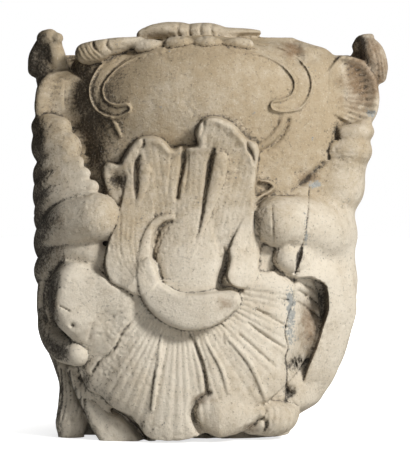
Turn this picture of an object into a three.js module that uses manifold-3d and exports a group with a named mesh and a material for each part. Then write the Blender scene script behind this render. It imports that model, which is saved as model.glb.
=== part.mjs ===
// A carved stone keystone in the rocaille taste: a tapered block whose front is cut as a bulging shield,
// with strapwork and a crest at the head, acanthus rising from a C-scroll in the middle, a fluted shell
// at the foot, and rolled folds, fans and curled tips down both edges. It is one stone, so one solid.
// Millimetres. X runs across, Z up from the underside, and the carved front faces -Y.

import * as THREE from "three";
import { LoftGeometry } from "three/addons/geometries/LoftGeometry.js";
import { mergeVertices } from "three/addons/utils/BufferGeometryUtils.js";
import Module from "manifold-3d";

// Driving dimensions
const DEPTH = 243; // back face to the foremost carving
const BLOCK_HEIGHT = 478; // underside to the top bed
const BLOCK_DEPTH = 92; // plain rear part that sits in the wall
const BLOCK_HALF_FOOT = 106; // half the block's width at the underside
const BLOCK_HALF_HEAD = 182; // half the block's width at the top bed
const SINK = 34; // how far applied carving is rooted below the surface
const SQUARENESS = 2.6; // 2 gives an elliptical front in plan, larger a squarer one
const FOOT_TRIM = 28; // how much narrower the foot is on the right, below the mended flank
const FOOT_TRIM_HEIGHTS = [16, 44]; // where that narrowing starts to die out and where it has gone
const FINEST = 0.3; // unevenness below this is smoothed out of the finished surface

// The bulging front behind the carving: height, half width, how far forward of the back face
const FRONT = [
  [0, 134, 178],
  [22, 140, 184],
  [50, 146, 192],
  [130, 156, 200],
  [220, 164, 194],
  [320, 172, 182],
  [420, 178, 170],
  [462, 174, 158],
  [486, 152, 140],
  [500, 112, 118],
];

// The mass behind the carved edges, which stand out past the joints:
// height, left reach, right reach, how far forward
const RETURNS = [
  [0, 174, 88, 146],
  [36, 178, 112, 146],
  [110, 194, 150, 136],
  [160, 205, 160, 126],
  [200, 206, 168, 138],
  [260, 210, 182, 148],
  [315, 212, 192, 144],
  [375, 212, 200, 136],
  [392, 200, 196, 126],
  [404, 170, 170, 114],
  [470, 150, 150, 112],
];

// The cushioned field of the cartouche, an ellipsoid let into the front
const FIELD = { x: -4, z: 414, forward: 128, halfWidth: 130, halfHeight: 88, rise: 62 };

const at = (x, z, forward) => new THREE.Vector3(x, DEPTH / 2 - forward, z);
const TURN = 2 * Math.PI;

// Position along a list of stations, smoothly, with the share running from 0 to 1
function blend(stations, share) {
  const points = stations.map((s) => new THREE.Vector3(s[0], s[1] ?? 0, s[2] ?? 0));
  return new THREE.CatmullRomCurve3(points).getPoint(share);
}

// Straight-line reading of a table whose first column rises
function read(table, key, column) {
  const last = table.length - 1;
  if (key <= table[0][0]) return table[0][column];
  if (key >= table[last][0]) return table[last][column];
  const i = table.findIndex((row) => row[0] > key);
  const share = (key - table[i - 1][0]) / (table[i][0] - table[i - 1][0]);
  return THREE.MathUtils.lerp(table[i - 1][column], table[i][column], share);
}

// Half the width of the front on the side that x is on
function halfFront(x, z) {
  const trim = x > 0 ? FOOT_TRIM * (1 - THREE.MathUtils.smoothstep(z, ...FOOT_TRIM_HEIGHTS)) : 0;
  return read(FRONT, z, 1) - trim;
}

// How far forward the uncarved front stands at a point of the elevation
function ground(x, z) {
  const across = Math.min(1, Math.abs(x) / halfFront(x, z));
  const bulge = (1 - across ** SQUARENESS) ** (1 / SQUARENESS);
  const front = BLOCK_DEPTH + (read(FRONT, z, 2) - BLOCK_DEPTH) * bulge;
  const inField = 1 - ((x - FIELD.x) / FIELD.halfWidth) ** 2 - ((z - FIELD.z) / FIELD.halfHeight) ** 2;
  const field = inField > 0 ? FIELD.forward + FIELD.rise * Math.sqrt(inField) : 0;
  return Math.max(front, field);
}

function loft(sections) {
  return new LoftGeometry(sections, { capStart: true, capEnd: true });
}

// Sections of the rounded end that closes a sweep: how far past the end, and the share of the width left
const DOMED_END = [0.62, 0.96].map((past) => [past, Math.sqrt(1 - past * past)]);

// A rolled fold: stations are [x, z, forward, radius] or [x, z, forward, radius, radius outwards].
// Its end is domed, and its section's second axis leans out of the stone.
function fold(stations, { rings = 5, sides = 8 } = {}) {
  const path = new THREE.CatmullRomCurve3(stations.map(([x, z, forward]) => at(x, z, forward)));
  const sizes = stations.map(([, , , radius, outwards]) => [radius, outwards ?? radius]);
  const frames = [];
  for (let i = 0; i <= rings; i += 1) {
    const share = i / rings;
    const size = blend(sizes, share);
    const along = path.getTangent(share);
    frames.push({ centre: path.getPoint(share), along, wide: size.x, thick: size.y });
  }
  const end = frames[rings];
  for (const [past, left] of DOMED_END) {
    const centre = end.centre.clone().addScaledVector(end.along, past * Math.min(end.wide, end.thick));
    frames.push({ centre, along: end.along, wide: end.wide * left, thick: end.thick * left });
  }
  return loft(
    frames.map(({ centre, along, wide, thick }) => {
      const outwards = new THREE.Vector3(centre.x, Math.min(-1, centre.y - DEPTH / 4), 0).normalize();
      const side = new THREE.Vector3().crossVectors(outwards, along).normalize();
      const out = new THREE.Vector3().crossVectors(along, side).normalize();
      return Array.from({ length: sides }, (_, j) => {
        const turn = (TURN * j) / sides;
        return centre
          .clone()
          .addScaledVector(side, wide * Math.cos(turn))
          .addScaledVector(out, thick * Math.sin(turn));
      });
    }),
  );
}

// Front profiles of applied carving, from -1 to 1 across its width, as a share of its height
const rounded = (across) => Math.sqrt(Math.max(0, 1 - across * across));
const lipped = (across) => (Math.abs(across) > 0.98 ? 0 : 0.45 + 0.97 * across ** 4);
const ribbed = (across) => (1 - across ** 6) * (0.9 - 0.1 * Math.cos(TURN * across));
const flat = (across) => (Math.abs(across) > 0.98 ? 0.35 : 1);

// Carving applied to the front: stations are [x, z, half width, height above the ground].
// It follows the front's curve, so its section is read point by point.
function relief(stations, profile, { rings = 8, points = 6 } = {}) {
  const path = new THREE.CatmullRomCurve3(stations.map(([x, z]) => new THREE.Vector3(x, z, 0)));
  const sizes = stations.map(([, , half, height]) => [half, height]);
  const frames = [];
  for (let i = 0; i <= rings; i += 1) {
    const share = i / rings;
    const size = blend(sizes, share);
    const along = path.getTangent(share);
    frames.push({ centre: path.getPoint(share), along, half: size.x, height: size.y });
  }
  const end = frames[rings];
  for (const [past, left] of DOMED_END) {
    const centre = end.centre.clone().addScaledVector(end.along, past * end.half);
    const height = end.height * (0.7 + 0.3 * left);
    frames.push({ centre, along: end.along, half: end.half * left, height });
  }
  return loft(
    frames.map(({ centre, along, half, height }) => {
      const face = [];
      const root = [];
      for (let j = 0; j <= points; j += 1) {
        const across = (2 * j) / points - 1;
        const x = centre.x + along.y * half * across;
        const z = centre.y - along.x * half * across;
        face.push(at(x, z, ground(x, z) + height * profile(across)));
        root.push(at(x, z, ground(x, z) - SINK));
      }
      return [...face, ...root.reverse()];
    }),
  );
}

// A fluted scallop: rays from a centre, dished or crowned by its face,
// which is a table of [share of the way out, forward]
function scallop({ x, z, from, to, inner, rim, face, root, lip, flutes, depth, fall = 0, ends = 0 }) {
  const stepsPerFlute = 2;
  const steps = flutes * stepsPerFlute;
  return loft(
    Array.from({ length: steps + 1 }, (_, i) => {
      const share = i / steps;
      const angle = THREE.MathUtils.degToRad(THREE.MathUtils.lerp(from, to, share));
      const reach = blend(rim.map((r) => [r]), share).x;
      const groove = i % stepsPerFlute === 0 ? depth : 0;
      const drop = ends * (1 - THREE.MathUtils.smoothstep(Math.min(share, 1 - share), 0, 0.16));
      const spot = (out, forward) => {
        const radius = THREE.MathUtils.lerp(inner, reach, out);
        const px = x + radius * Math.cos(angle);
        return at(px, z + radius * Math.sin(angle), forward - drop - fall * (px - x) ** 2);
      };
      const cut = (out) => groove * Math.sin(Math.PI * (0.12 + 0.7 * out));
      const front = face.map(([out, forward]) => spot(out, forward - cut(out)));
      const edge = face[face.length - 1][1];
      return [...front, spot(1, edge - lip), spot(0.72, root), spot(0, root)];
    }),
  );
}

// The plain rear block, wider at the head, with flat joints, back, top bed and underside
function block() {
  const ring = (half, z) => [
    at(-half, z, 0),
    at(-half, z, BLOCK_DEPTH),
    at(half, z, BLOCK_DEPTH),
    at(half, z, 0),
  ];
  return loft([ring(BLOCK_HALF_FOOT, 0), ring(BLOCK_HALF_HEAD, BLOCK_HEIGHT)]);
}

// The bulging front of the block, one section to each row of its table
function bulge() {
  const steps = 14;
  return loft(
    FRONT.map(([z, , forward]) => {
      const back = [1, -1].map((side) => at(0.8 * side * halfFront(side, z), z, BLOCK_DEPTH - 16));
      const front = Array.from({ length: steps + 1 }, (_, i) => {
        const turn = Math.PI * (1 - i / steps);
        const side = Math.sign(Math.cos(turn));
        const x = halfFront(side, z) * side * Math.abs(Math.cos(turn)) ** (2 / SQUARENESS);
        const rise = Math.sin(turn) ** (2 / SQUARENESS);
        return at(x, z, BLOCK_DEPTH + (forward - BLOCK_DEPTH) * rise);
      });
      return [...back, ...front];
    }),
  );
}

// The mass behind the folds of both edges, plain where it turns back to the wall
function returns() {
  const back = 62;
  const ease = 24;
  return loft(
    RETURNS.map(([z, left, right, front]) => [
      at(-left, z, front - ease),
      at(ease - left, z, front),
      at(right - ease, z, front),
      at(right, z, front - ease),
      at(right, z, back + ease),
      at(right - ease, z, back),
      at(ease - left, z, back),
      at(-left, z, back + ease),
    ]),
  );
}

// The cartouche: its cushioned field, two hooked straps, and the rolls along the head
function cartouche() {
  const field = new THREE.SphereGeometry(1, 24, 12);
  field.scale(FIELD.halfWidth, FIELD.rise, FIELD.halfHeight);
  field.translate(FIELD.x, DEPTH / 2 - FIELD.forward, FIELD.z);
  const height = 5;
  const straps = [
    [
      [-58, 485, 7, height], [-92, 480, 9, height], [-122, 463, 11, height], [-138, 439, 11, height],
      [-134, 417, 11, height], [-117, 407, 10, height], [-101, 410, 8, height],
    ],
    [
      [34, 488, 8, height], [68, 485, 10, height], [97, 474, 12, height], [118, 452, 13, height],
      [118, 430, 13, height], [104, 415, 11, height], [85, 414, 8, height],
    ],
  ];
  const rollEnds = [-92, -53, -17, 18, 58];
  const rolls = rollEnds.slice(1).map((end, i) => {
    const start = rollEnds[i];
    const sag = 0.0016 * ((start + end) / 2) ** 2;
    return [[start + 8, 489, 156 - sag, 8], [end - 8, 490, 156 - sag, 8]];
  });
  return [
    field,
    ...straps.map((stations) => relief(stations, lipped, { rings: 11, points: 6 })),
    ...rolls.map((stations) => fold(stations, { rings: 1 })),
  ];
}

// The broken crest on the head and the leaf that falls from it to the left
function crest() {
  const lumps = [
    [[-18, 506, 114, 9, 18], [-36, 509, 116, 10, 20], [-60, 507, 117, 10, 20], [-82, 500, 118, 7, 16]],
    [[66, 506, 112, 3, 9], [44, 507, 114, 5, 12], [20, 506, 116, 8, 16], [-12, 508, 116, 10, 20]],
    [[-84, 489, 134, 8, 20], [-104, 490, 138, 10, 22], [-124, 487, 142, 9, 20]],
  ];
  const lobes = [-134, -150, -164].map((x, i) => [
    [x + 16, 491, 138 - 3 * i, 8, 18],
    [x, 487, 141 - 3 * i, 9, 18],
    [x - 9, 472, 142 - 4 * i, 6, 8],
  ]);
  return [...lumps, ...lobes].map((stations) => fold(stations, { rings: 3 }));
}

// Acanthus leaves that climb from the C-scroll over the foot of the cartouche
function acanthus() {
  const masses = [
    [[-70, 206, 62, 12], [-70, 262, 64, 13], [-72, 296, 60, 14], [-74, 314, 45, 15]],
    [[10, 206, 68, 12], [8, 262, 66, 13], [8, 298, 60, 14], [10, 318, 46, 15]],
  ];
  const leaves = [
    [[-112, 268, 20, 11], [-116, 296, 20, 14], [-119, 320, 19, 20]],
    [[-77, 290, 38, 12], [-76, 322, 36, 16], [-76, 341, 33, 23]],
    [[-26, 300, 22, 13], [-27, 332, 18, 16], [-28, 346, 14, 20]],
    [[13, 290, 42, 13], [14, 330, 38, 17], [18, 366, 30, 26]],
    [[48, 300, 18, 12], [52, 330, 14, 15], [55, 354, 11, 20]],
    [[45, 256, 5, 14], [54, 288, 6, 17], [70, 304, 6, 19], [84, 312, 5, 19]],
  ];
  const tongues = [
    [[-86, 286, 3, 14], [-80, 308, 7, 20], [-77, 330, 9, 24]],
    [[-8, 246, 4, 14], [4, 290, 9, 21], [16, 334, 11, 27], [18, 346, 9, 27]],
  ];
  return [
    ...masses.map((stations) => relief(stations, flat, { rings: 4, points: 8 })),
    ...leaves.map((stations) => relief(stations, ribbed, { rings: 4 })),
    ...tongues.map((stations) => relief(stations, rounded, { rings: 3, points: 4 })),
  ];
}

// The C-scroll with the cushion it cradles and the leaves on either side of it
function scroll() {
  const band = [
    [-80, 206, 13, 35], [-78, 196, 17, 38], [-64, 176, 20, 42], [-25, 161, 23, 44],
    [8, 166, 21, 43], [27, 174, 15, 39],
  ];
  const cushion = [[-12, 266, 26, 4], [-17, 244, 38, 14], [-22, 222, 42, 23], [-20, 207, 39, 28]];
  const leftLeaf = [
    [-88, 318, 20, 11], [-92, 290, 25, 19], [-97, 260, 27, 27], [-98, 234, 26, 31],
    [-92, 212, 26, 34], [-80, 197, 22, 38],
  ];
  const rightLeaf = [[54, 262, 16, 10], [47, 236, 20, 17], [43, 208, 20, 25]];
  return [
    relief(band, flat, { rings: 10 }),
    relief(cushion, rounded, { rings: 5, points: 8 }),
    relief(leftLeaf, ribbed, { rings: 5 }),
    relief(rightLeaf, ribbed, { rings: 4 }),
  ];
}

// The great shell at the foot, broken along its lower left rim
function shell() {
  return scallop({
    x: -34, z: 199, from: -187, to: 5, inner: 30,
    rim: [136, 153, 149, 160, 175, 184, 198, 190, 186, 187, 189, 180, 160],
    face: [[0, 208], [0.35, 224], [0.75, 238], [1, 233]],
    root: 130, lip: 16, flutes: 34, depth: 4, fall: 0.0021, ends: 14,
  });
}

// Rolled folds, fan, curled tip, scooped hollow and foot down the left edge
function leftEdge() {
  const fan = {
    x: -128, z: 424, from: 146, to: 214, inner: 30, rim: [66, 84, 90, 92, 86],
    face: [[0, 138], [0.25, 130], [0.5, 124], [0.92, 136], [1, 132]],
    root: 64, lip: 34, flutes: 8, depth: 2,
  };
  const curl = [
    [[-178, 460, 118, 12], [-188, 486, 124, 12]],
    [[-184, 496, 116, 9], [-198, 497, 112, 12], [-207, 490, 108, 11]],
    [[-204, 492, 104, 12], [-212, 474, 98, 15], [-212, 454, 96, 14]],
    [[-194, 486, 106, 15], [-196, 468, 110, 17], [-198, 444, 108, 16]],
  ];
  const rings = [0, 1, 2].map((i) => [
    [-204, 312 - 27 * i, 94, 12, 14],
    [-206, 326 - 26 * i, 118, 14, 14],
    [-198 + 2 * i, 338 - 21 * i, 144, 14, 16],
    [-182 + 5 * i, 343 - 17 * i, 160 + 3 * i, 12],
    [-160 + 8 * i, 344 - 15 * i, 167 + 4 * i, 8],
  ]);
  const folds = [
    [[-196, 386, 84, 15, 18], [-204, 387, 112, 16, 18], [-198, 388, 144, 16, 20], [-184, 386, 156, 14, 16]],
    [[-198, 360, 84, 20, 18], [-204, 362, 114, 23, 18], [-194, 363, 148, 23, 22], [-174, 361, 162, 21, 19]],
    [[-202, 226, 96, 13, 14], [-201, 240, 122, 19, 18], [-182, 260, 154, 26], [-137, 276, 176, 31]],
    [[-202, 192, 94, 12, 14], [-200, 208, 122, 17, 18], [-182, 224, 154, 20], [-140, 228, 182, 18]],
    [[-190, 136, 84, 20, 18], [-192, 122, 118, 22, 19], [-180, 112, 164, 22], [-161, 106, 190, 19]],
  ];
  const scoop = [
    [-143, 207, 184, 5], [-170, 209, 174, 6], [-191, 199, 160, 6], [-199, 181, 152, 7],
    [-198, 156, 147, 7], [-188, 133, 148, 7],
  ];
  const foot = [
    [-186, 106, 116, 15], [-181, 88, 130, 12], [-175, 64, 144, 11], [-172, 34, 154, 17],
    [-170, 15, 155, 20], [-170, -8, 155, 19],
  ];
  const diagonal = [
    [[-168, 84, 164, 8], [-154, 58, 178, 10], [-136, 28, 184, 11], [-128, 8, 182, 9]],
    [[-160, 96, 166, 6], [-144, 68, 182, 7], [-126, 40, 190, 7]],
    [[-136, 62, 150, 22], [-122, 32, 162, 24], [-96, 6, 170, 26]],
  ];
  return [
    scallop(fan),
    ...curl.map((stations) => fold(stations, { rings: 2 })),
    ...rings.map((stations) => fold(stations, { rings: 5, sides: 6 })),
    ...folds.map((stations) => fold(stations, { rings: 4, sides: 10 })),
    fold(scoop, { rings: 7, sides: 6 }),
    fold(foot, { rings: 6 }),
    ...diagonal.map((stations) => fold(stations, { rings: 3, sides: 6 })),
  ];
}

// Fan, curled tip, rolled folds and the mended flank down the right edge
function rightEdge() {
  const fan = {
    x: 124, z: 424, from: -30, to: 46, inner: 30, rim: [88, 93, 93, 87, 74],
    face: [[0, 140], [0.25, 136], [0.5, 130], [0.92, 134], [1, 130]],
    root: 64, lip: 36, flutes: 9, depth: 3,
  };
  const curl = [
    [[216, 442, 106, 10], [214, 460, 112, 13], [208, 482, 116, 15], [204, 493, 112, 12]],
    [[182, 484, 98, 9], [187, 495, 102, 8], [198, 500, 104, 8], [208, 500, 108, 9]],
    [[190, 470, 96, 12], [198, 486, 96, 13]],
    [[172, 450, 118, 10], [190, 462, 114, 12], [204, 474, 112, 13]],
  ];
  const folds = [
    [[184, 381, 84, 11, 18], [196, 381, 112, 12, 15], [190, 381, 138, 12, 17], [172, 380, 147, 10, 11]],
    [[182, 357, 84, 16, 18], [193, 357, 112, 17, 16], [184, 357, 142, 17, 19], [156, 356, 156, 14, 11]],
    [[172, 314, 84, 32, 24], [178, 314, 106, 34, 23], [166, 315, 126, 34, 26], [138, 318, 122, 32, 26]],
    [
      [166, 250, 84, 32, 24], [168, 252, 112, 34, 23], [152, 257, 138, 37, 32],
      [122, 265, 158, 36, 34], [88, 270, 172, 32],
    ],
    [[128, 222, 160, 14], [112, 224, 180, 17], [99, 225, 188, 18]],
    [
      [146, 240, 124, 36, 34], [150, 192, 128, 35, 31], [144, 142, 128, 34, 31],
      [134, 98, 130, 32, 29], [119, 56, 130, 20],
    ],
  ];
  const fragment = [
    [112, 216, 164, 15], [136, 219, 156, 16], [160, 200, 142, 16], [164, 160, 138, 15],
    [156, 132, 138, 15], [147, 104, 138, 15], [137, 78, 136, 15], [128, 54, 130, 13],
  ];
  return [
    scallop(fan),
    ...curl.map((stations) => fold(stations, { rings: 3 })),
    ...folds.map((stations) => fold(stations, { rings: 4, sides: 10 })),
    fold(fragment, { rings: 9 }),
  ];
}

// The leaf that curls under the shell at the foot, and the rounded end it runs into on the right
function footLeaf() {
  const lobe = [[62, 34, 205, 13], [40, 32, 210, 22], [16, 31, 213, 27]];
  const end = [[58, 26, 196, 20], [78, 26, 194, 22], [98, 26, 180, 20], [108, 30, 164, 14]];
  return [fold(lobe, { rings: 4, sides: 10 }), fold(end, { rings: 5, sides: 10 })];
}

// Hollows cut back into the carving: x, z, forward of the middle, radii across, up and inwards
function hollows() {
  const sizes = [
    [138, 164, 175, 16, 32, 46],
    [126, 108, 184, 11, 30, 36],
    [-162, 72, 176, 8, 9, 22],
    [62, 18, 222, 9, 8, 18],
  ];
  return sizes.map(([x, z, forward, across, up, inwards]) => {
    const hollow = new THREE.SphereGeometry(1, 12, 8);
    hollow.scale(across, inwards, up);
    return hollow.translate(x, DEPTH / 2 - forward, z);
  });
}

const wasm = await Module();
wasm.setup();

// A closed geometry as a solid that can be joined and cut
function solid(geometry) {
  const bare = new THREE.BufferGeometry().copy(geometry);
  bare.deleteAttribute("normal");
  bare.deleteAttribute("uv");
  const merged = mergeVertices(bare, 1e-3);
  const corners = merged.index.array;
  const triVerts = [];
  for (let i = 0; i < corners.length; i += 3) {
    const [a, b, c] = corners.subarray(i, i + 3);
    if (a !== b && b !== c && c !== a) triVerts.push(a, b, c);
  }
  const vertProperties = merged.getAttribute("position").array;
  const mesh = new wasm.Mesh({ numProp: 3, vertProperties, triVerts: Uint32Array.from(triVerts) });
  return new wasm.Manifold(mesh);
}

function geometryOf(whole) {
  const mesh = whole.getMesh();
  const geometry = new THREE.BufferGeometry();
  geometry.setAttribute("position", new THREE.BufferAttribute(new Float32Array(mesh.vertProperties), 3));
  geometry.setIndex(new THREE.BufferAttribute(new Uint32Array(mesh.triVerts), 1));
  geometry.computeVertexNormals();
  return geometry;
}

// Everything below the underside is cut away, so the stone stands flat
function belowUnderside() {
  const side = 4 * BLOCK_HEIGHT;
  return new THREE.BoxGeometry(side, side, side).translate(0, 0, -side / 2);
}

const carving = [
  bulge(),
  returns(),
  shell(),
  ...cartouche(),
  ...crest(),
  ...acanthus(),
  ...scroll(),
  ...leftEdge(),
  ...rightEdge(),
  ...footLeaf(),
];
const cuts = [...hollows(), belowUnderside()];
const whole = carving.map(solid).reduce((stone, piece) => stone.add(piece), solid(block()));
const carved = cuts.map(solid).reduce((left, cut) => left.subtract(cut), whole);
const stone = carved.asOriginal().simplify(FINEST);

const sandstone = new THREE.MeshStandardMaterial({ color: 0xb9a98c, roughness: 0.92, metalness: 0 });
const keystone = new THREE.Mesh(geometryOf(stone), sandstone);
keystone.name = "keystone";

const part = new THREE.Group();
part.add(keystone);
export default part;
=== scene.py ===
import bmesh
import bpy
import numpy as np
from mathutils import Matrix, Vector


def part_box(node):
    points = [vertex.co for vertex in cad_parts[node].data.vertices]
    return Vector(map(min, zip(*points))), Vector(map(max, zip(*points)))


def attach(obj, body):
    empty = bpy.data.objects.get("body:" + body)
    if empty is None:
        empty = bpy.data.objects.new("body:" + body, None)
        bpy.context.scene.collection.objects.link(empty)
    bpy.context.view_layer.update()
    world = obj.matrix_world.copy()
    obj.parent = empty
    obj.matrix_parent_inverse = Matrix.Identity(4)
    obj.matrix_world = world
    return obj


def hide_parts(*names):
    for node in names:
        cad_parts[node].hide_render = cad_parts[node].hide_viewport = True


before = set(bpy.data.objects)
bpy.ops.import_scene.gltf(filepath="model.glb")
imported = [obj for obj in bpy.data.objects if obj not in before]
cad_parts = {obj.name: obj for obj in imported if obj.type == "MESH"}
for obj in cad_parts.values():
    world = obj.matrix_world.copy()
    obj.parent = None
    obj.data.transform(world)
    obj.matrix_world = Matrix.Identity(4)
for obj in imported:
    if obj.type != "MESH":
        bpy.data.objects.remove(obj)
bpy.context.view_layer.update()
print("frame loaded")

mm = 0.001
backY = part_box("keystone")[1].y / mm  # the flat back, from which every forward distance is measured
stoneParts = []  # rough closed shapes that are fused into the one stone


# small helpers on arrays

def spline(stations, share):
    knots = np.asarray(stations, float)
    last = len(knots) - 1
    place = np.clip(share, 0, 1) * last
    i = np.minimum(place.astype(int), last - 1)
    t = (place - i)[:, None]
    a, b, c, d = (knots[np.clip(i + step, 0, last)] for step in (-1, 0, 1, 2))
    return 0.5 * (2 * b + (c - a) * t + (2 * a - 5 * b + 4 * c - d) * t**2 + (3 * b - a - 3 * c + d) * t**3)


def slope(stations, share):
    step = 0.004
    ahead = spline(stations, np.clip(share + step, 0, 1)) - spline(stations, np.clip(share - step, 0, 1))
    return unit(ahead)


def unit(rows):
    return rows / np.maximum(np.linalg.norm(rows, axis=1, keepdims=True), 1e-9)


def ease(value, low, high):
    t = np.clip((value - low) / (high - low), 0, 1)
    return t * t * (3 - 2 * t)


def smoothMax(a, b, soft):
    return 0.5 * (a + b + np.sqrt((a - b) ** 2 + soft**2))


def ridge(value, middle, width):
    return np.exp(-(((value - middle) / width) ** 2))


def roundedEdge(inside, radius):
    return radius * (1 - np.sqrt(1 - np.clip(1 - inside / radius, 0, 1) ** 2))


def inMetres(x, z, forward):
    return np.stack([x, backY - forward, z], axis=1) * mm


def grain(spots, size, seed):
    cells = 32
    table = np.random.default_rng(seed).random((cells, cells, cells))
    place = spots / size
    cell = np.floor(place).astype(int)
    t = ease(place - cell, 0, 1)
    total = 0
    for corner in np.ndindex(2, 2, 2):
        weight = np.prod(np.where(np.array(corner) == 1, t, 1 - t), axis=1)
        i, j, k = ((cell + corner) % cells).T
        total = total + weight * table[i, j, k]
    return total


def placed(name, data):
    obj = bpy.data.objects.new(name, data)
    bpy.context.scene.collection.objects.link(obj)
    return obj


def keepPart(bm, name):
    mesh = bpy.data.meshes.new(name)
    bm.to_mesh(mesh)
    bm.free()
    stoneParts.append(mesh)


# every rough shape starts as a sphere whose rings run along the form and whose turns run round it

def roughShape(place, around, along):
    bm = bmesh.new()
    bmesh.ops.create_uvsphere(bm, u_segments=around, v_segments=along, radius=1)
    ball = np.array([v.co[:] for v in bm.verts])
    share = np.arccos(np.clip(-ball[:, 2], -1, 1)) / np.pi
    turn = np.arctan2(ball[:, 1], ball[:, 0])
    for v, spot in zip(bm.verts, place(share, turn)):
        v.co = spot
    keepPart(bm, "rough")


capShare = 0.2  # the share of a sweep's rings that its rounded ends take


def sweepShares(share):
    run = np.clip((share - capShare) / (1 - 2 * capShare), 0, 1)
    past = np.clip((share - 1 + capShare) / capShare, 0, 1) - np.clip((capShare - share) / capShare, 0, 1)
    return run, np.sin(past * np.pi / 2), np.cos(past * np.pi / 2)


# rolled folds: x, z, forward, radius and, where it differs, the radius outwards

def fold(stations):
    rows = np.array([[*s, s[3]][:5] for s in stations], float)

    def place(share, turn):
        run, past, shrink = sweepShares(share)
        row = spline(rows, run)
        spine = np.stack([rows[:, 0], -rows[:, 2], rows[:, 1]], axis=1)
        tangent = slope(spine, run)
        centre = np.stack([row[:, 0], -row[:, 2], row[:, 1]], axis=1)
        centre = centre + tangent * (past * np.minimum(row[:, 3], row[:, 4]))[:, None]
        lean = np.stack([centre[:, 0], np.minimum(-1, centre[:, 1] + backY / 2), 0 * run], axis=1)
        side = unit(np.cross(unit(lean), tangent))
        out = unit(np.cross(tangent, side))
        spot = centre + side * (row[:, 3] * shrink * np.cos(turn))[:, None]
        spot = spot + out * (row[:, 4] * shrink * np.sin(turn))[:, None]
        return inMetres(spot[:, 0], spot[:, 2], -spot[:, 1])

    roughShape(place, around=32, along=44)


# block and returns

blockSizes = {"height": 478, "depth": 92, "halfFoot": 106, "halfHead": 182}
returnSizes = {
    "back": 62,
    "endShare": 0.04,  # the share of the rings that closes each end
    "sideSquareness": 0.22,
    "faceSquareness": 0.6,
    # height, left reach, right reach, forward
    "rows": [
        [0, 148, 88, 146], [36, 164, 112, 146], [110, 194, 150, 136], [160, 205, 160, 126],
        [200, 206, 168, 138],
        [260, 210, 182, 148], [315, 212, 192, 144], [375, 212, 200, 136], [392, 200, 196, 126],
        [404, 178, 170, 114], [470, 188, 150, 108],
    ],
}


def rowAt(rows, z):
    rows = np.asarray(rows, float)
    return spline(rows, np.interp(z, rows[:, 0], np.linspace(0, 1, len(rows))))


def makeBlock():
    s = blockSizes
    bm = bmesh.new()
    bmesh.ops.create_cube(bm, size=1)
    for v in bm.verts:
        half = s["halfHead"] if v.co.z > 0 else s["halfFoot"]
        forward = s["depth"] if v.co.y < 0 else 0
        v.co = Vector((2 * v.co.x * half, backY - forward, (v.co.z + 0.5) * s["height"])) * mm
    keepPart(bm, "block")


def makeReturns():
    s = returnSizes

    def place(share, turn):
        end = s["endShare"]
        z = np.clip((share - end) / (1 - 2 * end), 0, 1) * s["rows"][-1][0]
        row = rowAt(s["rows"], z)
        closed = np.minimum(np.minimum(share, 1 - share) / end, 1)
        reach = np.where(np.cos(turn) < 0, row[:, 1], row[:, 2])
        middle = (row[:, 3] + s["back"]) / 2
        half = (row[:, 3] - s["back"]) / 2
        x = np.sign(np.cos(turn)) * reach * np.abs(np.cos(turn)) ** s["sideSquareness"] * closed
        face = np.sign(np.sin(turn)) * np.abs(np.sin(turn)) ** s["faceSquareness"]
        forward = middle + half * face * closed
        return inMetres(x, z, forward)

    roughShape(place, around=64, along=80)


# the carved front is a sheet of forward distances over x and z

sheetSizes = {"step": 1.25, "halfWidth": 230, "low": -10, "high": 510, "root": 66, "edge": 98}
frontSizes = {
    "squareness": 2.6,
    "rightTrim": 28,  # the foot is narrower on the right, below the mended flank
    "trimHeights": [16, 44],
    # height, half width, forward
    "rows": [
        [0, 134, 178], [50, 146, 192], [130, 156, 200], [220, 164, 194], [320, 172, 182],
        [420, 178, 170], [462, 174, 158], [486, 152, 140], [500, 112, 118],
    ],
}
fieldSizes = {"x": -4, "z": 414, "forward": 128, "halfWidth": 130, "halfHeight": 88, "rise": 62, "soft": 9}
columns = np.arange(-sheetSizes["halfWidth"], sheetSizes["halfWidth"] + 0.1, sheetSizes["step"])
levels = np.arange(sheetSizes["low"], sheetSizes["high"] + 0.1, sheetSizes["step"])
sheetX, sheetZ = (a.ravel() for a in np.meshgrid(columns, levels))


def frontGround(x, z):
    row = rowAt(frontSizes["rows"], z)
    power = frontSizes["squareness"]
    trim = np.where(x > 0, frontSizes["rightTrim"] * (1 - ease(z, *frontSizes["trimHeights"])), 0)
    across = np.minimum(1, np.abs(x) / (row[:, 1] - trim))
    front = blockSizes["depth"] + (row[:, 2] - blockSizes["depth"]) * (1 - across**power) ** (1 / power)
    front = np.where((z > frontSizes["rows"][-1][0]) | (z < 0), 0, front)
    f = fieldSizes
    inside = 1 - ((x - f["x"]) / f["halfWidth"]) ** 2 - ((z - f["z"]) / f["halfHeight"]) ** 2
    field = np.where(inside > 0, f["forward"] + f["rise"] * np.sqrt(np.maximum(inside, 0)), 0)
    return smoothMax(front, field, f["soft"])


groundSheet = frontGround(sheetX, sheetZ)
sheet = groundSheet.copy()


pathSteps = 20  # the fine steps between two stations of a path
lobeFall = 60  # how far a raised form falls at its edge, so that it ends in the ground
shellFall = 90


def fallAway(inside, depth):
    return depth * (1 - ease(inside, -1.5, 1.5))


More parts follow.
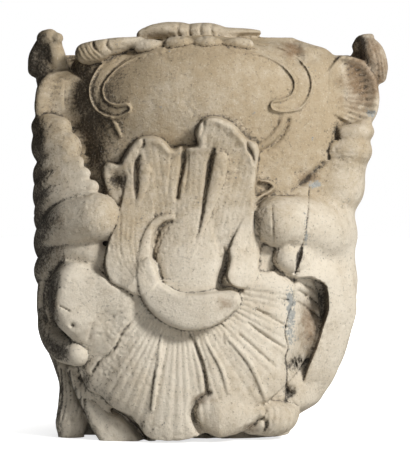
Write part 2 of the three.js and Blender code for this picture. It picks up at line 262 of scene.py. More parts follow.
# for each spot near a path: index, share run, way aside, way off the path and the path's row there
def alongPath(stations, reach, x, z):
    rows = np.array(stations, float)
    fine = spline(rows, np.linspace(0, 1, pathSteps * (len(rows) - 1) + 1))
    low = fine[:, :2].min(axis=0) - reach
    high = fine[:, :2].max(axis=0) + reach
    near = np.flatnonzero((x > low[0]) & (x < high[0]) & (z > low[1]) & (z < high[1]))
    x = x[near]
    z = z[near]
    best = np.full(len(x), np.inf)
    nearest = np.zeros(len(x), int)
    for i, spot in enumerate(fine):
        away = (x - spot[0]) ** 2 + (z - spot[1]) ** 2
        nearest[away < best] = i
        best = np.minimum(best, away)
    ahead = unit(np.gradient(fine[:, :2], axis=0))[nearest]
    dx = x - fine[nearest, 0]
    dz = z - fine[nearest, 1]
    lengthwise = dx * ahead[:, 0] + dz * ahead[:, 1]
    side = dx * ahead[:, 1] - dz * ahead[:, 0]
    past = np.where(nearest == len(fine) - 1, np.maximum(lengthwise, 0), 0)
    past = past + np.where(nearest == 0, np.minimum(lengthwise, 0), 0)
    return near, nearest / (len(fine) - 1), side, np.hypot(side, past), fine[nearest]


# a raised lobe: x, z, half width and height over the ground, or forward where it is level
def raiseLobe(stations, crown, edge, blend, tilt=0, veins=0, veinDepth=0, level=False):
    reach = max(s[2] for s in stations) + 6
    near, run, side, away, row = alongPath(stations, reach, sheetX, sheetZ)
    inside = row[:, 2] - away
    across = np.clip(away / row[:, 2], 0, 1)
    over = row[:, 3] - crown * row[:, 2] * across**2 + tilt * side
    over = over - roundedEdge(inside, edge)
    if veins:
        line = np.abs(np.cos(np.pi * veins * side / row[:, 2] / 2)) ** 6
        over = over - veinDepth * line * ease(inside, 1, 8)
    over = over - fallAway(inside, lobeFall)
    top = over if level else groundSheet[near] + over
    sheet[near] = smoothMax(sheet[near], top, blend)


# a thin raised bead: x, z, half width and height over what is there
def raiseBead(stations):
    reach = max(s[2] for s in stations) + 2
    near, run, side, away, row = alongPath(stations, reach, sheetX, sheetZ)
    sheet[near] += row[:, 3] * np.sqrt(np.maximum(0, 1 - (away / row[:, 2]) ** 2))


# a cut line: x, z, half width and depth
def lineDepth(stations, x, z):
    reach = max(s[2] for s in stations) * 2.5 + 2
    near, run, side, away, row = alongPath(stations, reach, x, z)
    depth = np.zeros(len(x))
    depth[near] = row[:, 3] * np.exp(-((away / row[:, 2]) ** 2))
    return depth


# a soft hollow: x, z, radius across, radius up and depth
def hollowDepth(h, x, z):
    return h[4] * np.exp(-(((x - h[0]) / h[2]) ** 2) - ((z - h[1]) / h[3]) ** 2)


def cutLine(stations, share=1):
    sheet[:] -= lineDepth(stations, sheetX, sheetZ) * share


def cutHollow(h):
    sheet[:] -= hollowDepth(h, sheetX, sheetZ)


# cartouche: field, straps and the rolls along its top

cartouche = {
    # x, z, half width, height over the ground
    "leftStrap": [
        [-58, 485, 7, 2], [-92, 480, 9, 2], [-122, 463, 11, 2.5], [-138, 439, 11, 3],
        [-134, 417, 11, 3], [-117, 407, 10.5, 3], [-101, 410, 8, 3],
    ],
    "rightStrap": [
        [34, 488, 8, 2], [68, 485, 10, 2], [97, 474, 12, 2], [116, 455, 13, 2.5],
        [120, 437, 13, 2.5], [112, 420, 12, 2.5], [96, 414, 10, 3], [85, 414, 8, 3],
    ],
    "lip": {"rise": 3, "in": 2.2, "width": 1.7},
    "trough": {"depth": 1.6, "in": 5.4, "width": 1.4},
    "strapStart": [0.04, 0.16],
    "leftTail": [[-119, 398, 3, 3], [-112, 386, 3.5, 4], [-108, 377, 3, 3]],
    "rightTail": [[97, 402, 4, 3], [91, 386, 5, 4], [81, 373, 5, 4], [66, 362, 4, 2]],
    "rightTailCut": [[101, 396, 3, 4], [96, 382, 3, 5], [85, 368, 3, 5], [68, 357, 3, 3]],
    # x, z, radius across, radius up, depth
    "hollows": [[-164, 398, 24, 46, 8], [-150, 350, 20, 22, 8], [-172, 450, 20, 24, 8]],
    "rolls": {
        "ends": [-92, -53, -17, 18, 58], "z": [488, 491, 491, 490],
        "forward": 156, "radius": 8.5, "sag": 0.0016,
    },
    "slot": [[110, 492, 7, 7], [113, 478, 8, 8], [112, 470, 6, 4]],
    "arcs": {"x": 128, "z": 480, "radii": [6, 10], "depth": 1.6, "width": 1.2},
}


def makeCartouche():
    c = cartouche
    lip = c["lip"]
    trough = c["trough"]
    for hollow in c["hollows"]:
        cutHollow(hollow)
    for name in ("leftStrap", "rightStrap"):
        raiseLobe(c[name], crown=0, edge=1.5, blend=0.5)
        near, run, side, away, row = alongPath(c[name], 22, sheetX, sheetZ)
        inside = row[:, 2] - away
        begun = ease(run, *c["strapStart"])
        sheet[near] += lip["rise"] * ridge(inside, lip["in"], lip["width"]) * begun
        sheet[near] -= trough["depth"] * ridge(inside, trough["in"], trough["width"]) * begun
    raiseBead(c["leftTail"])
    raiseBead(c["rightTail"])
    cutLine(c["rightTailCut"])
    cutLine(c["slot"])
    arcs = c["arcs"]
    away = np.hypot(sheetX - arcs["x"], sheetZ - arcs["z"])
    for radius in arcs["radii"]:
        sheet[:] -= arcs["depth"] * ridge(away, radius, arcs["width"]) * (sheetX > arcs["x"] - 4)
    r = c["rolls"]
    for low, high, z in zip(r["ends"], r["ends"][1:], r["z"]):
        middle = (low + high) / 2
        half = (high - low) / 2 - r["radius"] + 2
        sag = r["sag"] * middle**2
        fold([
            [middle - half, z, r["forward"] - sag, r["radius"] - 1],
            [middle, z + 1, r["forward"] + 2 - sag, r["radius"]],
            [middle + half, z, r["forward"] - sag, r["radius"] - 1],
        ])


# acanthus: one soft mass with a ragged outline of rolled tips, and a raised tongue on each large leaf

acanthus = {
    # x and z round the outline, from low on the left over the tips to low on the right
    "outline": [
        [-112, 196], [-116, 250], [-124, 300], [-131, 326], [-130, 339], [-121, 344], [-110, 342],
        [-105, 351],
        [-97, 364], [-84, 374], [-67, 376], [-53, 371], [-43, 361], [-33, 365], [-19, 364], [-13, 367],
        [-15, 382], [-6, 397], [11, 401], [30, 393], [42, 381], [51, 372], [61, 368], [65, 357],
        [62, 330], [60, 300], [61, 250], [64, 196],
    ],
    # z and height over the ground
    "rise": [[196, 12], [290, 13], [325, 16], [350, 19], [378, 23], [402, 26]],
    "edge": 7,
    "rim": {"rise": 2.2, "in": 7, "width": 4, "heights": [330, 350]},
    # x, z, radius across, radius up, depth
    "dips": [[-36, 352, 13, 30, 5], [-112, 322, 9, 10, 9], [40, 340, 9, 34, 1.5], [-58, 330, 8, 34, 1.5]],
    "striations": {"x": -26, "z": 60, "perDegree": 0.62, "depth": 0.58},
    "hook": [
        [46, 246, 2.4, 11], [47, 266, 3, 12], [53, 286, 3.4, 12], [64, 300, 3.4, 12],
        [76, 307, 3.4, 11], [83, 313, 3.2, 10], [77, 319, 2.8, 9], [66, 321, 2.4, 7],
    ],
    # x, z, half width and height over the ground
    "tongues": [
        [[-87, 286, 2, 13], [-81, 310, 6.5, 18], [-77, 335, 9, 22]],
        [[-11, 246, 2.4, 13], [2, 290, 7.5, 18], [14, 330, 10.5, 24], [17, 348, 10, 26]],
    ],
    # x, z, half width, depth
    "grooves": [
        [[-84, 352, 1.8, 3], [-88, 341, 2.8, 9], [-88, 315, 2.4, 8], [-90, 286, 1.4, 2]],
        [
            [-29, 367, 2.6, 9], [-29, 352, 2.6, 11], [-31, 336, 2.2, 9], [-35, 316, 2.2, 8],
            [-37, 300, 2.4, 8],
        ],
        [[8, 360, 1.8, 4], [4, 348, 2.6, 9], [0, 319, 2.2, 8], [-6, 283, 1.8, 6], [-15, 243, 1.3, 2]],
        [[48, 374, 2.2, 6], [50, 364, 2.4, 7], [56, 352, 2, 5], [58, 340, 1.4, 2]],
        [[-5, 398, 1.8, 3], [-4, 388, 2, 4], [-8, 376, 1.5, 2]],
        [[-80, 374, 1.6, 3], [-79, 366, 1.8, 4], [-84, 358, 1.4, 2]],
        [[-24, 362, 1.2, 2], [-24, 330, 1.2, 1.6], [-30, 300, 1.1, 0.8]],
        [[-44, 352, 1.2, 1.6], [-47, 320, 1.2, 1.4], [-52, 290, 1.1, 0.8]],
    ],
}


def makeAcanthus():
    a = acanthus
    near, run, inside, away, row = alongPath(a["outline"], 4, sheetX, sheetZ)
    x = sheetX[near]
    z = sheetZ[near]
    rise = np.array(a["rise"], float)
    over = np.interp(z, rise[:, 0], rise[:, 1])
    for dip in a["dips"]:
        over = over - hollowDepth(dip, x, z)
    line = a["striations"]
    angle = np.degrees(np.arctan2(x - line["x"], z - line["z"]))
    wave = np.abs(np.cos(np.pi * line["perDegree"] * angle)) ** 4
    over = over - line["depth"] * wave * ease(inside, 2, 10)
    rim = a["rim"]
    over = over + rim["rise"] * ridge(inside, rim["in"], rim["width"]) * ease(z, *rim["heights"])
    over = over - roundedEdge(inside, a["edge"])
    over = over - fallAway(inside, lobeFall)
    sheet[near] = smoothMax(sheet[near], groundSheet[near] + over, 3)
    for tongue in a["tongues"]:
        raiseLobe(tongue, crown=0.3, edge=3, blend=1.2)
    raiseLobe(a["hook"], crown=0.3, edge=3, blend=1)
    raised = ease(sheet - groundSheet, 4, 9)
    for groove in a["grooves"]:
        cutLine(groove, raised)


# C-scroll with its cushion and the leaves beside it

scroll = {
    # x, z, half width, forward
    "band": [
        [-44, 277, 4, 202], [-58, 273, 5.5, 204], [-69, 262, 6.5, 206], [-75, 244, 7.5, 209],
        [-77, 224, 9, 214], [-74, 205, 13, 222], [-64, 183, 18, 233], [-44, 167, 21, 239],
        [-20, 161, 23, 242], [8, 166, 21, 241], [27, 174, 14.5, 236],
    ],
    "leftLeaf": [
        [-84, 318, 18, 185], [-86, 290, 22, 196], [-91, 262, 24, 207], [-96, 238, 28, 215],
        [-95, 218, 31, 222], [-84, 206, 25, 229],
    ],
    # x, z, half width, height over the ground
    "cushion": [[-16, 276, 22, 8], [-20, 252, 32, 14], [-23, 228, 40, 21], [-22, 208, 38, 25]],
    "rightLeaf": [[54, 262, 16, 10], [47, 236, 20, 17], [43, 208, 20, 25]],
    # x, z, half width, depth
    "grooves": [
        [
            [-36, 270, 2, 1.4], [-50, 268, 3, 4], [-60, 260, 3.4, 6], [-63, 248, 2.6, 4],
            [-66, 236, 1.8, 3],
            [-65, 220, 2, 4.4], [-59, 203, 2, 5], [-50, 191, 2, 4.4], [-38, 185, 1.8, 3],
            [-18, 183, 1.4, 2], [12, 188, 1.6, 3],
        ],
        [
            [21, 238, 2, 3], [25, 229, 3.4, 10], [22, 214, 3.6, 12], [16, 202, 3.6, 12],
            [19, 192, 4.4, 14], [30, 187, 4, 12], [42, 186, 2.4, 6],
        ],
        [[-133, 211, 1.6, 4], [-118, 196, 1.8, 6], [-101, 188, 1.6, 5], [-92, 180, 1.4, 3]],
    ],
    "striations": {
        "path": [[-118, 282], [-120, 250], [-114, 222], [-98, 202]],
        "step": 6, "drop": 0.2, "count": 7, "width": 1.6, "depths": [0.6, 0.85, 1.1],
    },
}


def makeScroll():
    s = scroll
    raiseLobe(s["rightLeaf"], crown=0.1, edge=5, veins=5, veinDepth=0.5, tilt=0.35, blend=4)
    raiseLobe(s["leftLeaf"], crown=0.1, edge=4, blend=5, level=True)
    raiseLobe(s["cushion"], crown=0.16, edge=12, blend=10)
    raiseLobe(s["band"], crown=0.12, edge=8, blend=11, level=True)
    for groove in s["grooves"]:
        cutLine(groove)
    line = s["striations"]
    for i in range(line["count"]):
        shift = i * line["step"]
        cut = [line["width"], line["depths"][i % len(line["depths"])]]
        cutLine([[x + shift, z - line["drop"] * shift, *cut] for x, z in line["path"]])


# shell: fine flutes that fan out from under the C-scroll to a broken rim

shell = {
    "x": -34, "z": 199, "fallLeft": 0.0026, "fallRight": 0.0021,
    # degrees from the right, reach of the rim
    "rim": [
        [-190, 146], [-184, 155], [-176, 163], [-169, 166], [-160, 162], [-152, 154], [-147, 154],
        [-142, 160],
        [-138, 170], [-130, 179], [-124, 174], [-118, 179], [-110, 178], [-106, 186], [-103, 195],
        [-100, 199], [-90, 198],
        [-76, 190], [-60, 186], [-45, 186], [-30, 190], [-15, 184], [5, 160],
    ],
    # share of the reach, forward
    "face": [[0, 206], [0.3, 214], [0.5, 228], [0.75, 237], [0.92, 238], [1, 234]],
    "groups": [-190, -150, -128, -106, -82, -58, -36, -16, 5],
    # out is the share of the reach over which a form comes in, and degrees count down from the right
    "swell": {"rise": 3, "middle": 0.7, "out": [0.3, 0.8]},
    "flutes": {"pitch": 4.2, "depth": 1.9, "sharpness": 1.3, "fade": [142, 160], "out": [0.25, 0.4]},
    "curl": {"forward": 40, "degrees": [138, 162], "out": [0.6, 0.98]},
    "nearLeft": {"forward": 8, "degrees": [130, 160], "out": [0.5, 0.9]},
    "ends": {"left": 22, "right": 10, "degrees": 10},
    "roll": {"radius": 5, "atCurl": 17, "degrees": [158, 172]},
    # x, z, half width, depth
    "grooves": [
        [
            [-86, 158, 1.4, 2], [-104, 135, 1.6, 3.4], [-116, 114, 1.6, 3.4], [-131, 102, 1.4, 3],
            [-142, 86, 1.5, 3],
        ],
        [[-21, 132, 2, 4], [-6, 96, 2.4, 7], [-1, 64, 2.6, 8]],
        [[51, 146, 2, 3], [72, 130, 2.2, 4], [97, 113, 2, 2.4]],
        [[40, 132, 2, 2], [62, 112, 2.2, 3], [84, 92, 2, 2]],
        [[62, 162, 2, 3], [86, 148, 2.2, 4], [104, 136, 2, 2.4]],
        [[116, 195, 2, 5], [134, 184, 2.4, 7], [151, 170, 2, 5]],
        [[114, 184, 2, 5], [132, 171, 2.4, 7], [149, 157, 2, 5]],
        [[112, 170, 2, 5], [128, 158, 2.4, 6], [144, 146, 2, 4]],
        [[-126, 160, 2, 1.5], [-140, 146, 2.5, 2.5], [-146, 128, 2.5, 2]],
    ],
    # x, z, half width, height
    "ridges": [
        [[-55, 132, 2.4, 2], [-61, 90, 3, 3.4], [-67, 42, 3, 3]],
        [[22, 132, 2.4, 2], [50, 101, 3, 3.6], [66, 70, 3, 3.4], [74, 46, 3, 3]],
        [[-3, 128, 2.4, 1.6], [18, 92, 3, 3], [26, 62, 3, 2]],
    ],
    # x, z, radius across, radius up, depth
    "hollows": [[136, 162, 22, 32, 38], [122, 106, 15, 32, 32]],
    # the smooth face at the left end: x, z, half width, forward
    "leftFace": [[-104, 178, 18, 215], [-134, 177, 27, 219], [-166, 168, 28, 221]],
    # the mended fragment: x, z, half width, forward of the band round its hollow
    "fragment": [
        [112, 216, 16, 182], [136, 219, 20, 172], [164, 200, 20, 156], [170, 160, 20, 150],
        [162, 132, 20, 150], [153, 104, 20, 150], [143, 78, 20, 148], [132, 54, 16, 142],
    ],
    # the base behind the broken rim: x, z, half width, forward
    "base": [[-140, 62, 18, 188], [-126, 32, 25, 202], [-98, 6, 36, 210]],
    # the dark gap between that base and the rim: x, z, half width, depth
    "gap": [
        [-164, 80, 4, 28], [-153, 61, 4.4, 32], [-138, 52, 3.6, 26], [-118, 37, 4.4, 30],
        [-105, 30, 3.6, 24],
        [-90, 17, 4.4, 30], [-78, 2, 4, 28],
    ],
    # the curled leaf at the foot of the shell: x, z, half width, forward, or depth along its edge
    "lobe": [[62, 34, 13, 218], [40, 32, 22, 232], [16, 31, 27, 240]],
    "lobeEdge": [
        [2, 62, 3.4, 9], [-14, 50, 3.8, 13], [-18, 36, 4.2, 15], [-12, 20, 4.2, 15],
        [0, 8, 4, 13], [12, 2, 3.4, 10],
    ],
}


def makeShell():
    s = shell
    raiseLobe(s["base"], crown=0.05, edge=10, blend=6, level=True)
    dx = sheetX - s["x"]
    dz = sheetZ - s["z"]
    reach = np.hypot(dx, dz)
    angle = np.degrees(np.arctan2(dz, dx))
    angle = np.where(angle > 90, angle - 360, angle)
    rim = np.array(s["rim"], float)
    leftEnd, rightEnd = rim[[0, -1], 0]
    edge = np.interp(angle, rim[:, 0], rim[:, 1])
    within = (angle > leftEnd) & (angle < rightEnd)
    out = reach / edge
    inside = edge - reach
    forward = rowAt(s["face"], out)[:, 1]
    groups = np.array(s["groups"], float)
    group = np.clip(np.searchsorted(groups, angle) - 1, 0, len(groups) - 2)
    inGroup = np.clip((angle - groups[group]) / (groups[group + 1] - groups[group]), 0, 1)
    swell = s["swell"]
    rounded = np.sqrt(np.sin(np.pi * inGroup)) - swell["middle"]
    forward = forward + swell["rise"] * rounded * ease(out, *swell["out"])
    flutes = s["flutes"]
    wave = (1 - np.abs(np.sin(np.pi * angle / flutes["pitch"]))) ** flutes["sharpness"]
    uneven = np.random.default_rng(3).random(90)[np.rint(angle / flutes["pitch"]).astype(int)]
    wave = wave * (0.5 + 0.9 * uneven) * (1 - 0.85 * ease(-angle, *flutes["fade"]))
    forward = forward - flutes["depth"] * wave * (1.15 - 0.75 * out) * ease(out, *flutes["out"])
    forward = forward - np.where(dx < 0, s["fallLeft"], s["fallRight"]) * dx**2
    curl = s["curl"]
    forward = forward + curl["forward"] * ease(-angle, *curl["degrees"]) * ease(out, *curl["out"])
    near = s["nearLeft"]
    forward = forward + near["forward"] * ease(-angle, *near["degrees"]) * (1 - ease(out, *near["out"]))
    ends = s["ends"]
    forward = forward - ends["left"] * (1 - ease(angle, leftEnd, leftEnd + ends["degrees"]))
    forward = forward - ends["right"] * ease(angle, rightEnd - ends["degrees"], rightEnd)
    roll = s["roll"]
    radius = roll["radius"] + roll["atCurl"] * ease(-angle, *roll["degrees"])
    forward = forward - roundedEdge(inside, radius)
    forward = forward - fallAway(inside, shellFall)
    forward = np.where(within, forward, 0)
    sheet[:] = np.where(within & (inside > -3), smoothMax(sheet, forward, 1.5), sheet)
    raiseLobe(s["leftFace"], crown=0.1, edge=16, blend=10, level=True)
    for path in s["ridges"]:
        raiseBead(path)
    for groove in s["grooves"]:
        cutLine(groove, inside > 0)
    cutLine(s["gap"], inside < 0)
    for hollow in s["hollows"]:
        cutHollow(hollow)
    raiseLobe(s["fragment"], crown=0.1, edge=4, tilt=1, blend=3, level=True)
    raiseLobe(s["lobe"], crown=0.35, edge=10, blend=2, level=True)
    cutLine(s["lobeEdge"])


# fluted fans at the head: rays from a centre, with a face given as share outwards and forward

fanEdge = {"roll": 6, "fadeIn": 26, "soft": 14}
fans = [
    {
        "x": -128, "z": 424, "from": 142, "to": 222, "inner": 30, "rim": [60, 84, 90, 92, 86],
        "face": [[0, 134], [0.3, 127], [0.6, 124], [0.85, 129], [1, 126]], "flutes": 12, "depth": 0.6,
    },
    {
        "x": 124, "z": 424, "from": -32, "to": 52, "inner": 30, "rim": [86, 93, 94, 88, 70],
        "face": [[0, 138], [0.4, 131], [0.7, 126], [0.9, 130], [1, 126]], "flutes": 14, "depth": 1.8,
    },
]


def makeFan(s):
    dx = sheetX - s["x"]
    dz = sheetZ - s["z"]
    reach = np.hypot(dx, dz)
    turn = (np.degrees(np.arctan2(dz, dx)) - s["from"]) % 360
    span = s["to"] - s["from"]
    run = np.clip(turn / span, 0, 1)
    edge = spline(np.array(s["rim"], float)[:, None], run)[:, 0]
    out = np.clip((reach - s["inner"]) / (edge - s["inner"]), 0, 1)
    forward = rowAt(s["face"], out)[:, 1]
    wave = np.abs(np.cos(np.pi * s["flutes"] * run)) ** 1.6
    forward = forward - s["depth"] * wave * ease(out, 0.1, 0.5)
    inside = np.minimum(edge - reach, np.radians(np.minimum(turn, span - turn)) * reach)
    forward = forward - roundedEdge(inside, fanEdge["roll"])
    forward = forward - fallAway(inside, shellFall)
    near = (turn < span) & (reach > s["inner"])
    share = ease(reach[near] - s["inner"], 0, fanEdge["fadeIn"])
    sheet[near] += share * (smoothMax(sheet[near], forward[near], fanEdge["soft"]) - sheet[near])


def makeSheet():
    s = sheetSizes
    bm = bmesh.new()
    bmesh.ops.create_grid(bm, x_segments=len(columns) - 1, y_segments=len(levels) - 1, size=1)
    spots = np.array([v.co[:] for v in bm.verts])
    i = np.rint((spots[:, 0] + 1) / 2 * (len(columns) - 1)).astype(int)
    j = np.rint((spots[:, 1] + 1) / 2 * (len(levels) - 1)).astype(int)
    forward = sheet.reshape(len(levels), len(columns))[j, i]
    for v, spot in zip(bm.verts, inMetres(columns[i], levels[j], forward)):
        v.co = spot
    edge = (backY - s["edge"]) * mm
    bare = [f for f in bm.faces if max(v.co.y for v in f.verts) > edge]
    bmesh.ops.delete(bm, geom=bare, context="FACES")
    grown = bmesh.ops.extrude_face_region(bm, geom=list(bm.faces), use_keep_orig=True)
    for v in grown["geom"]:
        if isinstance(v, bmesh.types.BMVert):
            v.co.y = (backY - s["root"]) * mm
    keepPart(bm, "front")


# head, left edge, right edge and foot, as rolled folds
# x, z, forward, radius and, where it differs, the radius outwards

crest = [
    [[-18, 506, 114, 9, 18], [-36, 509, 116, 10, 20], [-60, 507, 117, 10, 20], [-82, 500, 118, 7, 16]],
    [[20, 506, 114, 8, 16], [2, 508, 116, 10.5, 20], [-20, 507, 115, 10, 19]],
    [[66, 506, 112, 3.4, 9], [44, 507, 114, 5, 12], [20, 506, 116, 7, 16]],
    [[-84, 494, 136, 5, 16], [-108, 489, 140, 9, 18], [-134, 483, 143, 13, 18], [-151, 479, 140, 14, 16]],
]
leftEdge = {
    "ear": [
        [[-204, 498, 108, 11], [-197, 501, 116, 10]],
        [[-194, 499, 117, 8], [-187, 499, 122, 7.5]],
        [[-194, 494, 112, 10], [-189, 478, 117, 11], [-188, 464, 109, 13]],
        [[-206, 489, 98, 12], [-212, 474, 97, 14], [-216, 460, 95, 11]],
        [[-197, 490, 100, 15], [-198, 468, 102, 18], [-200, 446, 102, 16]],
    ],
    "lobes": [
        [
            [-196, 386, 84, 15, 18], [-204, 387, 110, 16, 18], [-198, 388, 130, 16, 17],
            [-182, 386, 142, 14, 14],
        ],
        [
            [-198, 360, 84, 20, 18], [-204, 362, 112, 23, 18], [-194, 363, 140, 23, 20],
            [-173, 361, 154, 21, 17],
        ],
        [
            [-204, 312, 96, 12, 14], [-206, 326, 118, 13, 14], [-198, 338, 142, 12, 16],
            [-182, 343, 158, 11], [-160, 344, 167, 8],
        ],
        [
            [-204, 286, 92, 12, 14], [-206, 300, 116, 14, 14], [-198, 316, 144, 14, 16],
            [-178, 326, 162, 12], [-152, 330, 172, 8],
        ],
        [
            [-202, 258, 92, 12, 14], [-204, 274, 118, 15, 15], [-194, 296, 148, 15, 16],
            [-172, 308, 166, 13], [-143, 313, 176, 9],
        ],
    ],
    "comma": [
        [-202, 226, 96, 13, 14], [-201, 240, 122, 19, 18], [-188, 256, 150, 25], [-166, 269, 172, 29],
        [-138, 275, 186, 31],
    ],
    "under": [
        [
            [-203, 222, 112, 6], [-202, 234, 130, 6], [-190, 248, 157, 6], [-168, 255, 179, 5],
            [-142, 247, 188, 4],
        ],
        [
            [-202, 192, 94, 12, 14], [-200, 208, 122, 17, 18], [-188, 222, 148, 20], [-166, 230, 168, 20],
            [-140, 228, 182, 18],
        ],
    ],
    "scoop": [
        [-143, 207, 184, 4], [-170, 209, 174, 5], [-191, 199, 160, 6], [-199, 181, 152, 6],
        [-198, 156, 147, 6], [-188, 133, 148, 6],
    ],
    "ribs": {
        "path": [[-205, 200, 124], [-208, 165, 122], [-202, 132, 126], [-188, 110, 140]],
        "radius": 7, "step": 15, "count": 3,
    },
    "lowBall": [[-201, 160, 118, 11], [-197, 134, 138, 15], [-182, 113, 172, 16], [-160, 107, 204, 15]],
    "foot": [
        [-186, 106, 116, 15], [-181, 88, 130, 12], [-175, 64, 144, 11], [-173, 42, 152, 14],
        [-171, 30, 154, 18], [-170, 15, 155, 20], [-170, 2, 155, 17],
    ],
    "footLeaf": [
        [[-168, 84, 164, 8], [-154, 58, 178, 10], [-136, 28, 184, 11], [-128, 8, 182, 9]],
        [[-160, 96, 166, 6], [-144, 68, 182, 7], [-126, 40, 190, 7]],
    ],
}
rightEdge = {
    "ear": [
        [[200, 496, 106, 9], [208, 482, 116, 14], [215, 464, 116, 13], [218, 450, 108, 9]],
        [[190, 488, 96, 8], [194, 498, 100, 6], [206, 500, 106, 6]],
        [[192, 476, 98, 10], [202, 470, 104, 14], [208, 456, 104, 14]],
    ],
    "lobes": [
        [[184, 381, 84, 11, 18], [196, 381, 112, 12, 15], [190, 381, 134, 12, 16], [172, 380, 138, 10, 11]],
        [[182, 357, 84, 16, 18], [193, 357, 112, 17, 16], [184, 357, 138, 17, 18], [160, 356, 142, 14, 11]],
        [[178, 338, 84, 14, 16], [186, 338, 112, 16, 16], [174, 338, 136, 17, 16], [150, 338, 138, 14, 12]],
        [[172, 314, 84, 32, 24], [178, 314, 106, 34, 23], [166, 315, 130, 34, 26], [138, 318, 126, 32, 26]],
    ],
    "ball": [
        [166, 250, 84, 32, 24], [168, 252, 112, 34, 23], [152, 257, 138, 37, 32],
        [122, 266, 162, 36, 34], [102, 269, 178, 33], [88, 270, 186, 32],
    ],
    "smallBall": [[128, 222, 160, 14], [112, 224, 180, 17], [99, 225, 188, 18]],
    "flank": [
        [152, 240, 122, 32, 34], [165, 192, 110, 20, 26], [159, 142, 110, 19, 26],
        [148, 98, 112, 18, 24], [134, 68, 116, 16, 20], [125, 56, 118, 14, 17],
    ],
    "lumps": [[58, 26, 196, 20], [78, 26, 194, 22], [94, 27, 180, 19], [103, 32, 164, 13]],
}


def makeEdges():
    for stations in crest:
        fold(stations)
    left = leftEdge
    right = rightEdge
    for stations in left["ear"] + left["lobes"] + left["under"] + left["footLeaf"]:
        fold(stations)
    for name in ("comma", "scoop", "lowBall", "foot"):
        fold(left[name])
    ribs = left["ribs"]
    for i in range(ribs["count"]):
        fold([[x, z, forward - i * ribs["step"], ribs["radius"]] for x, z, forward in ribs["path"]])
    for stations in right["ear"] + right["lobes"]:
        fold(stations)
    for name in ("ball", "smallBall", "flank", "lumps"):
        fold(right[name])


makeCartouche()
makeAcanthus()
makeShell()
makeScroll()
for fan in fans:
    makeFan(fan)
makeSheet()
print("front carved")
makeBlock()
makeReturns()
makeEdges()
print("rough shapes:", len(stoneParts))


# fuse the rough shapes into one skin

fuse = {
    "voxel": 1.7,
    "triangles": 190000,
    "softTurns": 6,
    "softShare": 0.7,
    "carvedFrom": [50, 90],  # forward of the back, where the folds begin
    "flushFrom": [80, 110],
    "sheetReach": 3.5,  # how near the skin has to be to the sheet to be drawn back onto it
    "sheetFacing": 0.35,
    "bedCut": 0.5,  # the height at which the underside is cut flat
}
# where the folds hardly part: x and z over which the zone comes in and goes, and how often it is smoothed
flushZones = [
    {"x": [108, 132], "low": [198, 220], "high": [330, 350], "turns": 80},
    {"x": [160, 178], "low": [336, 350], "high": [388, 398], "turns": 16},
    {"x": [-132, -150], "low": [298, 308], "high": [340, 352], "turns": 9},
    {"x": [-148, -170], "low": [338, 350], "high": [392, 402], "turns": 12},
]


def applied(obj):
    graph = bpy.context.evaluated_depsgraph_get()
    mesh = bpy.data.meshes.new_from_object(obj.evaluated_get(graph))
    obj.modifiers.clear()
    old = obj.data
    obj.data = mesh
    bpy.data.meshes.remove(old)


def fuseStone():
    bm = bmesh.new()
    for mesh in stoneParts:
        bm.from_mesh(mesh)
    mesh = bpy.data.meshes.new("keystone_stone")
    bm.to_mesh(mesh)
    bm.free()
    stone = placed("keystone_stone", mesh)
    remesh = stone.modifiers.new("fuse", "REMESH")
    remesh.mode = "VOXEL"
    remesh.voxel_size = fuse["voxel"] * mm
    applied(stone)
    print("fused vertices:", len(stone.data.vertices))
    return stone


def readRows(items, name, kind, width):
    flat = np.empty(len(items) * width, kind)
    items.foreach_get(name, flat)
    return flat.reshape(-1, width)


# each vertex as x, forward and z in millimetres
def readSpots(mesh):
    spots = readRows(mesh.vertices, "co", np.float32, 3) / mm
    spots[:, 1] = backY - spots[:, 1]
    return spots.astype(float)


def writeSpots(mesh, spots):
    mesh.vertices.foreach_set("co", inMetres(spots[:, 0], spots[:, 2], spots[:, 1]).ravel())
    mesh.update()


def readNormals(mesh):
    return readRows(mesh.vertex_normals, "vector", np.float32, 3).astype(float) * (1, -1, 1)


def readPairs(mesh):
    return readRows(mesh.edges, "vertices", np.int32, 2).T


def neighbourMean(values, pairs):
    a, b = pairs
    count = len(values)
    degree = np.bincount(a, minlength=count) + np.bincount(b, minlength=count)
    total = [np.bincount(a, v[b], count) + np.bincount(b, v[a], count) for v in values.T]
    return np.stack(total, axis=1) / degree[:, None]


# the rolled folds run into one another

def flushShare(spots, zone):
    x, forward, z = spots.T
    share = ease(x, *zone["x"]) * ease(z, *zone["low"]) * (1 - ease(z, *zone["high"]))
    return share * ease(forward, *fuse["flushFrom"])


def softenFolds(mesh):
    spots = readSpots(mesh)
    pairs = readPairs(mesh)
    passes = [(ease(spots[:, 1], *fuse["carvedFrom"]), fuse["softTurns"])]
    for zone in flushZones:
        passes.append((flushShare(spots, zone), zone["turns"]))
    for share, turns in passes:
        for turn in range(turns):
            spots += fuse["softShare"] * share[:, None] * (neighbourMean(spots, pairs) - spots)
    writeSpots(mesh, spots)


# the fused skin is drawn back onto the carved sheet, which is sharper than the voxels

